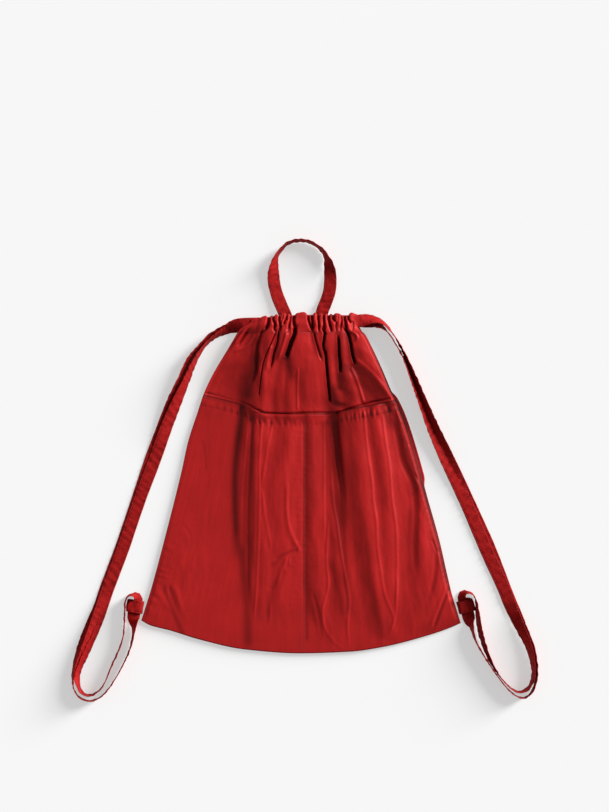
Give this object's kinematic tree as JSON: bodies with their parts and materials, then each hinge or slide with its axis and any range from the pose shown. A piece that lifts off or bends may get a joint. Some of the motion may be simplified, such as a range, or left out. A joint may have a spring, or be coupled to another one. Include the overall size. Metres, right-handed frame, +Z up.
{
  "type": "drawstring pouch backpack",
  "caption": "Flat drawstring pouch worn as a backpack: gathered tape casing at the mouth, hemmed front pockets, carry loop and two long flat shoulder tapes through corner tabs.",
  "frame": {"origin": "on the floor under the middle of the pouch, its carry loop and corner tabs, as it lies on its back", "axes": "+Z up out of the front, +Y from the bottom seam towards the mouth and the carry loop, +X to the right of the front"},
  "size_m": [0.5504, 0.539, 0.0212],
  "materials": {
    "nylon_cloth": "satin taffeta weave",
    "nylon_tape": "satin woven tape"
  },
  "bodies": {
    "root": {"back_panel": "nylon_cloth", "front_panel": "nylon_cloth", "pocket_backing": "nylon_cloth", "front_pocket": "nylon_cloth", "handle_loop": "nylon_tape", "corner_tab_left": "nylon_tape", "corner_tab_right": "nylon_tape", "drawstring_left": "nylon_tape", "drawstring_right": "nylon_tape"}
  },
  "joints": []
}
